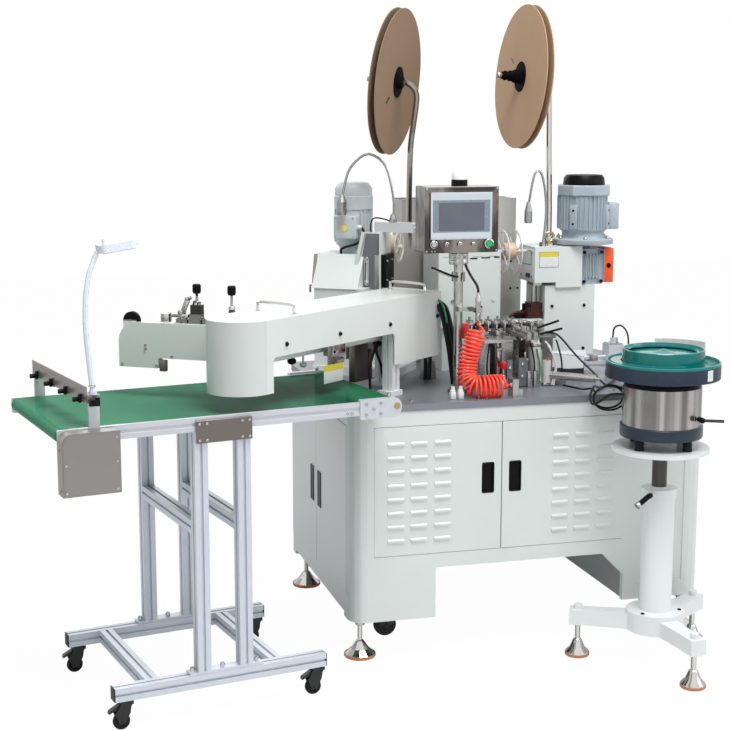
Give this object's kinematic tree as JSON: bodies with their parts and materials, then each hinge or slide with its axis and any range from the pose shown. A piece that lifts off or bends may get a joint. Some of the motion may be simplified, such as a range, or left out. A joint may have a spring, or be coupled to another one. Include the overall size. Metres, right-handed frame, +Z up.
{
  "type": "terminal crimping machine",
  "caption": "Terminal crimping machine on a louvred cabinet: crimp presses with wire reels, a wire-pulling arm over a belt conveyor, a touch panel and a bowl feeder on its own stand.",
  "frame": {"origin": "centre of the footprint on the floor, measured without the free cords", "axes": "+X along the cabinet's front from left to right, +Y from front to rear, +Z up"},
  "size_m": [2.2442, 1.402, 2.1082],
  "materials": {
    "white_enamel": "satin off-white enamel",
    "grey_plate": "ground grey plate",
    "bright_steel": "polished",
    "brushed_sheet": "brushed sheet",
    "aluminium_profile": "satin anodised",
    "belt_green": "smooth belt",
    "bowl_green": "lining paint",
    "button_green": "gloss",
    "black_plastic": "moulded",
    "grey_casting": "blue-grey paint",
    "brown_board": "plain board",
    "clear_plastic": "clear moulding",
    "brown_block": "dark oxide",
    "red_hose": "translucent tube",
    "black_cable": "cable sheath"
  },
  "bodies": {
    "machine": {"air_hose_coil": "red_hose", "arm_cover": "white_enamel", "arm_frame": "white_enamel", "belt_guide": "aluminium_profile", "belt_lamp": "white_enamel", "bowl_stand": "white_enamel", "cabinet_foot_1": "bright_steel", "cabinet_foot_2": "bright_steel", "cabinet_foot_3": "bright_steel", "cabinet_foot_4": "bright_steel", "cabinet_shell": "white_enamel", "centre_unit": "brushed_sheet", "conveyor_belt": "belt_green", "conveyor_frame": "aluminium_profile", "conveyor_gearbox_cover": "brushed_sheet", "feeder_cable": "black_cable", "feeder_track": "aluminium_profile", "hmi_post": "brushed_sheet", "left_lamp": "bright_steel", "left_motor": "grey_casting", "left_press_body": "white_enamel", "left_reel_stand": "aluminium_profile", "rear_hopper": "brushed_sheet", "right_applicator": "brown_block", "right_gearbox": "grey_casting", "right_lamp": "bright_steel", "right_motor": "grey_casting", "right_press_body": "white_enamel", "right_reel_pole": "bright_steel", "stand_base": "aluminium_profile", "stand_legs": "aluminium_profile", "straightener_plate": "white_enamel", "table_top": "grey_plate", "wire_housing": "white_enamel"},
    "front_door_left": {"front_door_left": "white_enamel"},
    "front_door_right": {"front_door_right": "white_enamel"},
    "side_door_front": {"side_door_front": "white_enamel"},
    "side_door_rear": {"side_door_rear": "white_enamel"},
    "drive_roller": {"drive_roller": "brushed_sheet"},
    "tail_roller": {"tail_roller": "brushed_sheet"},
    "caster_wheel_1": {"caster_wheel_1": "black_plastic"},
    "caster_wheel_2": {"caster_wheel_2": "black_plastic"},
    "caster_wheel_3": {"caster_wheel_3": "black_plastic"},
    "caster_wheel_4": {"caster_wheel_4": "black_plastic"},
    "pull_clamp": {"pull_clamp": "aluminium_profile"},
    "guide_wheel": {"guide_wheel": "black_plastic"},
    "pressure_knob_1": {"pressure_knob_1": "black_plastic"},
    "pressure_knob_2": {"pressure_knob_2": "black_plastic"},
    "left_ram": {"left_ram": "black_plastic"},
    "right_ram": {"right_ram": "bright_steel"},
    "left_reel": {"left_reel": "brown_board"},
    "right_reel": {"right_reel": "brown_board"},
    "left_spool": {"left_spool": "clear_plastic"},
    "clear_spool": {"clear_spool": "clear_plastic"},
    "hmi_enclosure": {"hmi_enclosure": "brushed_sheet"},
    "start_button": {"start_button": "button_green"},
    "swing_head": {"swing_head": "brushed_sheet"},
    "bowl_column": {"bowl_platform": "white_enamel", "feeder_drum": "brushed_sheet"},
    "feeder_bowl": {"feeder_bowl": "bowl_green"}
  },
  "joints": [
    {"name": "front_door_left_hinge", "type": "hinge", "parent": "machine", "child": "front_door_left", "pos_m": [-0.02587, -0.20304, 0.555], "axis": [0, 0, -1], "range_deg": [0, 110]},
    {"name": "front_door_right_hinge", "type": "hinge", "parent": "machine", "child": "front_door_right", "pos_m": [0.82353, -0.20304, 0.555], "axis": [0, 0, 1], "range_deg": [0, 48]},
    {"name": "side_door_front_hinge", "type": "hinge", "parent": "machine", "child": "side_door_front", "pos_m": [-0.10217, -0.13674, 0.485], "axis": [0, 0, 1], "range_deg": [0, 105]},
    {"name": "side_door_rear_hinge", "type": "hinge", "parent": "machine", "child": "side_door_rear", "pos_m": [-0.10217, 0.64766, 0.485], "axis": [0, 0, -1], "range_deg": [0, 110]},
    {"name": "drive_roller_spin", "type": "hinge", "parent": "machine", "child": "drive_roller", "pos_m": [-1.0551, -0.30834, 0.8687], "axis": [-0.1908, 0.9816, 0], "continuous": true},
    {"name": "tail_roller_spin", "type": "hinge", "parent": "machine", "child": "tail_roller", "pos_m": [-0.05806, -0.11454, 0.8687], "axis": [-0.1908, 0.9816, 0], "continuous": true},
    {"name": "caster_wheel_1_spin", "type": "hinge", "parent": "machine", "child": "caster_wheel_1", "pos_m": [-0.86377, -0.52379, 0.025], "axis": [-0.1908, 0.9816, 0], "continuous": true},
    {"name": "caster_wheel_2_spin", "type": "hinge", "parent": "machine", "child": "caster_wheel_2", "pos_m": [-0.95841, -0.0369, 0.025], "axis": [-0.1908, 0.9816, 0], "continuous": true},
    {"name": "caster_wheel_3_spin", "type": "hinge", "parent": "machine", "child": "caster_wheel_3", "pos_m": [-0.27676, -0.40969, 0.025], "axis": [-0.1908, 0.9816, 0], "continuous": true},
    {"name": "caster_wheel_4_spin", "type": "hinge", "parent": "machine", "child": "caster_wheel_4", "pos_m": [-0.3714, 0.0772, 0.025], "axis": [-0.1908, 0.9816, 0], "continuous": true},
    {"name": "pull_clamp_slide", "type": "slide", "parent": "machine", "child": "pull_clamp", "axis": [0.7793, 0.6266, 0], "range_m": [-0.32, 0.19]},
    {"name": "guide_wheel_spin", "type": "hinge", "parent": "machine", "child": "guide_wheel", "pos_m": [-0.75747, -0.09585, 1.117], "axis": [0.5563, 0.831, 0], "continuous": true},
    {"name": "pressure_knob_1_turn", "type": "hinge", "parent": "machine", "child": "pressure_knob_1", "pos_m": [-0.57697, -0.2109, 1.205], "axis": [0, 0, 1], "range_deg": [-360, 360]},
    {"name": "pressure_knob_2_turn", "type": "hinge", "parent": "machine", "child": "pressure_knob_2", "pos_m": [-0.4776, -0.24133, 1.2], "axis": [0, 0, 1], "range_deg": [-360, 360]},
    {"name": "left_ram_stroke", "type": "slide", "parent": "machine", "child": "left_ram", "axis": [0, 0, -1], "range_m": [0, 0.03]},
    {"name": "right_ram_stroke", "type": "slide", "parent": "machine", "child": "right_ram", "axis": [0, 0, -1], "range_m": [0, 0.03]},
    {"name": "left_reel_spin", "type": "hinge", "parent": "machine", "child": "left_reel", "pos_m": [0.20451, 0.37069, 1.842], "axis": [-0.8256, 0.5527, 0.1132], "continuous": true},
    {"name": "right_reel_spin", "type": "hinge", "parent": "machine", "child": "right_reel", "pos_m": [0.67183, 0.36796, 1.861], "axis": [-0.9976, 0, 0.0698], "continuous": true},
    {"name": "left_spool_spin", "type": "hinge", "parent": "machine", "child": "left_spool", "pos_m": [0.22163, 0.47716, 1.271], "axis": [0.831, -0.5563, 0], "continuous": true},
    {"name": "clear_spool_spin", "type": "hinge", "parent": "machine", "child": "clear_spool", "pos_m": [0.62783, 0.37296, 1.253], "axis": [1, 0, 0], "continuous": true},
    {"name": "hmi_swivel", "type": "hinge", "parent": "machine", "child": "hmi_enclosure", "pos_m": [0.29983, -0.04204, 1.3], "axis": [0, 0, 1], "range_deg": [-60, 60]},
    {"name": "start_button_press", "type": "slide", "parent": "hmi_enclosure", "child": "start_button", "axis": [0, 1, 0], "range_m": [0, 0.003], "stiffness_N_per_m": 400, "springref_m": -0.001},
    {"name": "swing_head_turn", "type": "hinge", "parent": "machine", "child": "swing_head", "pos_m": [0.54883, 0.08796, 1], "axis": [0, 0, 1], "range_deg": [-30, 30]},
    {"name": "bowl_height", "type": "slide", "parent": "machine", "child": "bowl_column", "axis": [0, 0, 1], "range_m": [-0.025, 0.08]},
    {"name": "bowl_vibration", "type": "hinge", "parent": "bowl_column", "child": "feeder_bowl", "pos_m": [0.84583, -0.42004, 0.92], "axis": [0, 0, 1], "range_deg": [-1, 1], "stiffness_Nm_per_rad": 400}
  ],
  "couplings": [
    {"joint": "tail_roller_spin", "follows": "drive_roller_spin", "ratio": 1}
  ]
}
